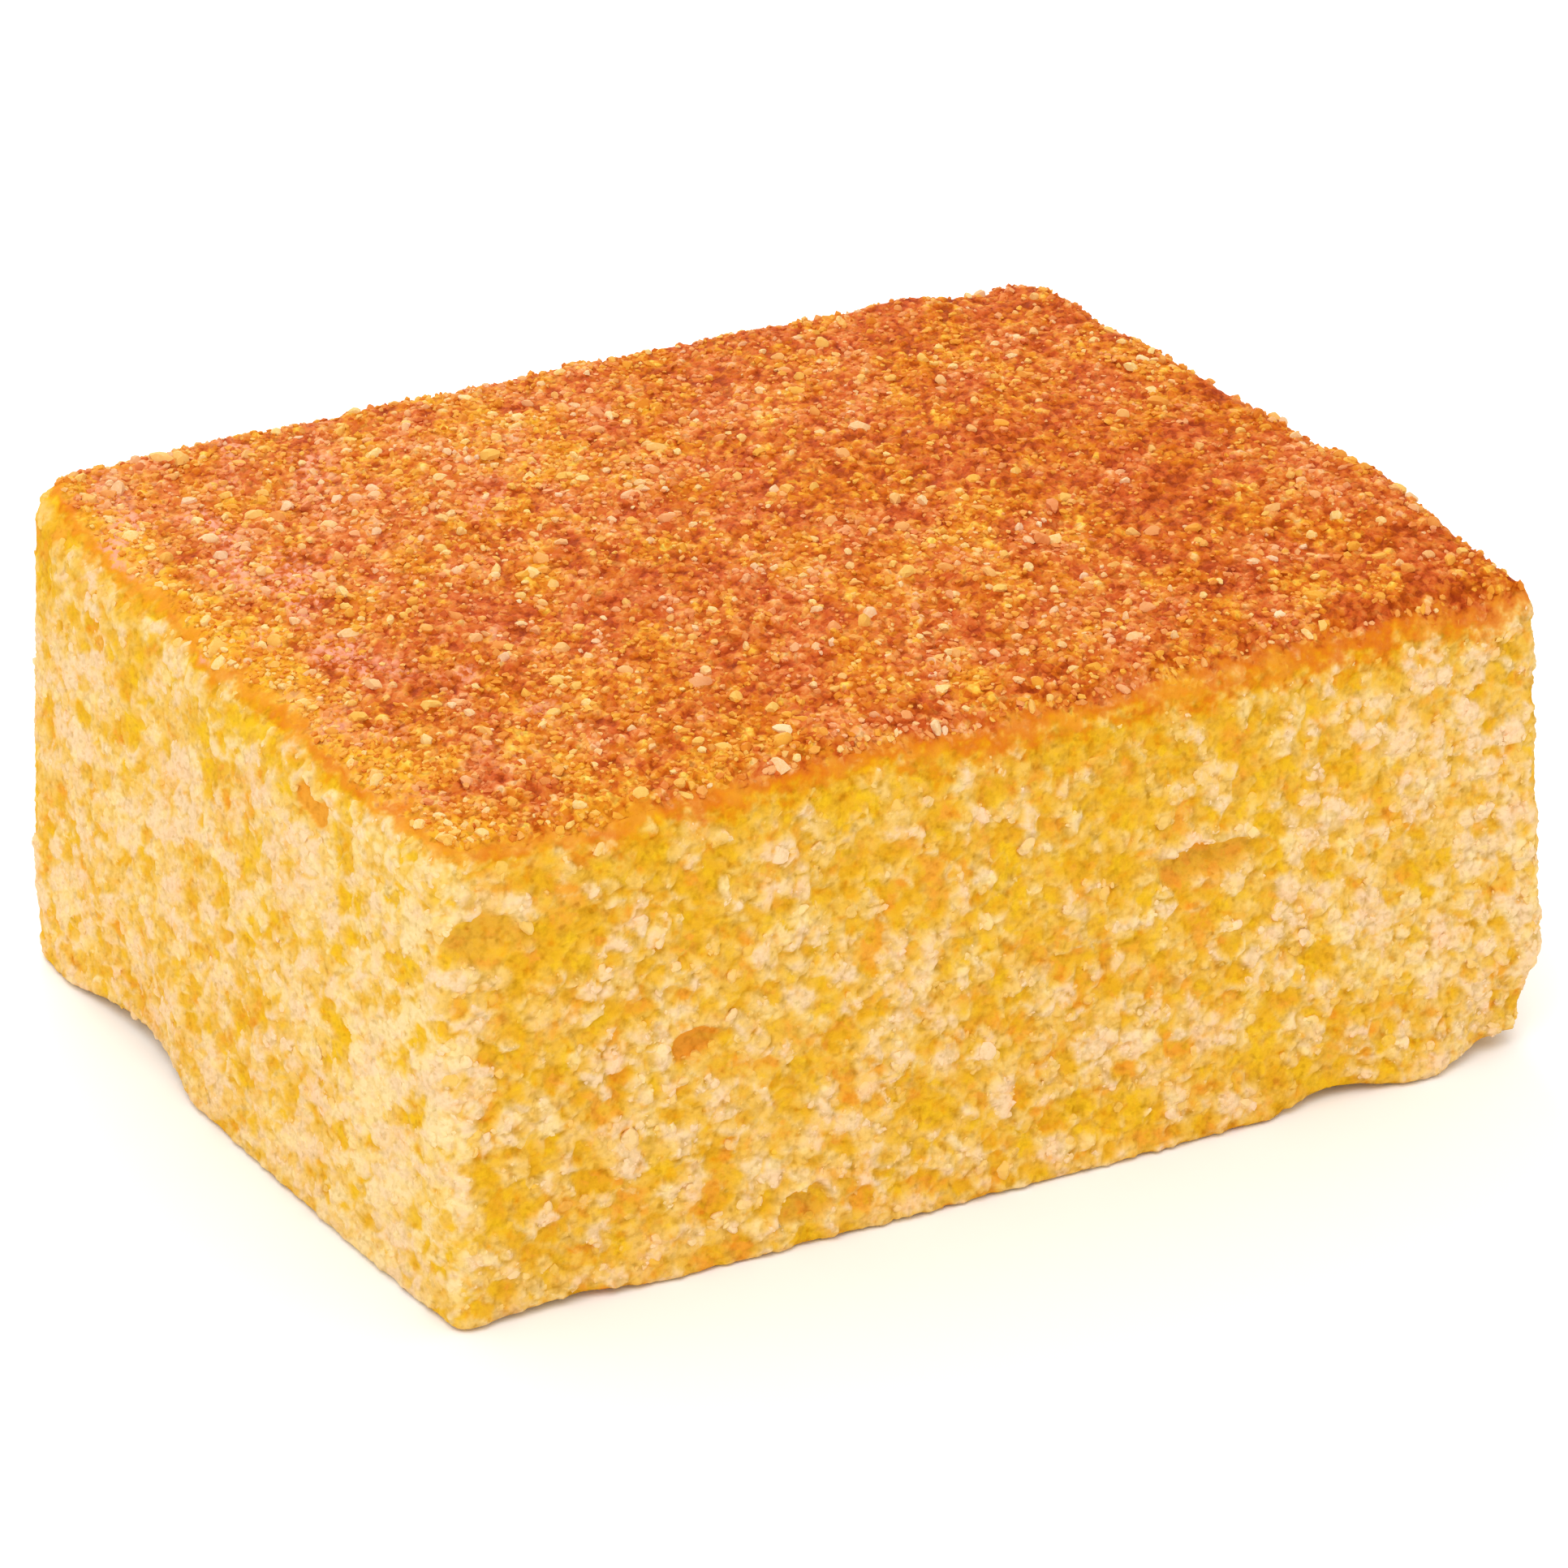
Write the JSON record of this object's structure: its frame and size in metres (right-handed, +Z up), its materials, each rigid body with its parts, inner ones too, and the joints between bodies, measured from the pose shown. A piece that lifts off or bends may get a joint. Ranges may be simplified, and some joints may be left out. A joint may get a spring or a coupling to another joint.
{
  "type": "cornbread square",
  "caption": "Hand-cut block of baked cornbread with a browned, gritty crust on top and open golden crumb on its cut sides.",
  "frame": {"origin": "middle of the flat underside, at the middle of the block's box in the plan", "axes": "+Z up through the browned crust, +X along the longer cut side, +Y along the shorter one, away from the side shown on the right"},
  "size_m": [0.0782, 0.0628, 0.0332],
  "materials": {
    "cornbread": "open golden crumb on the sides, browned gritty crust on top"
  },
  "bodies": {
    "root": {"cornbread": "cornbread"}
  },
  "joints": []
}
